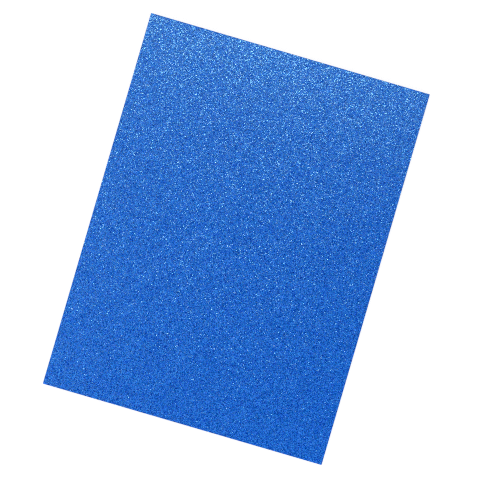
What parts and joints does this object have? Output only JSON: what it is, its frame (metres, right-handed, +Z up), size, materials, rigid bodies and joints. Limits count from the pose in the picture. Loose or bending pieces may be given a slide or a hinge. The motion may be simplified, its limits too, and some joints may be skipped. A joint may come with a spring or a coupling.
{
  "type": "glitter foam sheet",
  "caption": "Flat rectangular sheet of thin craft foam with a sparkling blue glitter face, square cut edges and a plain foam back, to be cut, glued or laid on a surface.",
  "frame": {"origin": "middle of the plain underside, on the surface that the sheet lies on", "axes": "+X across the width, +Y along the length, +Z up through the thickness to the glitter face"},
  "size_m": [0.229, 0.3046, 0.002],
  "materials": {
    "glitter_foam": "satin"
  },
  "bodies": {
    "root": {"foam_sheet": "glitter_foam"}
  },
  "joints": []
}
